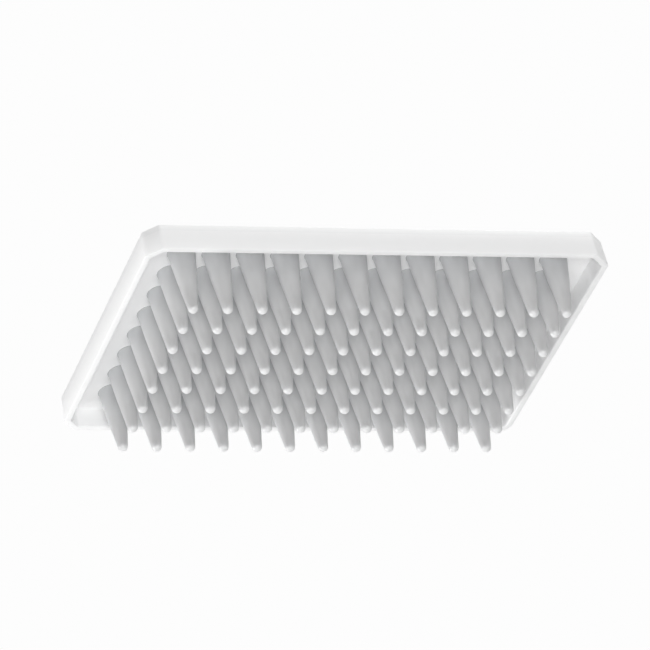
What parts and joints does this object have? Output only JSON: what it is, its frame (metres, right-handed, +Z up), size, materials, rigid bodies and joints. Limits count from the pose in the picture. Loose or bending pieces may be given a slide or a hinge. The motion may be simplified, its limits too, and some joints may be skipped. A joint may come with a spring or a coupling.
{
  "type": "storage microplate",
  "caption": "Half-skirted laboratory storage plate in natural plastic: a flat deck over a grid of tapered, round-tipped wells, with a short skirt and one larger cut corner.",
  "frame": {"origin": "centre of the well grid, on the plane that the well tips stand on", "axes": "+X along the rows from the first column to the last, +Y towards the first row, +Z up through the wells' mouths"},
  "size_m": [0.1232, 0.0824, 0.0196],
  "materials": {
    "polypropylene": "natural, satin, slightly translucent"
  },
  "bodies": {
    "root": {"microplate": "polypropylene"}
  },
  "joints": []
}
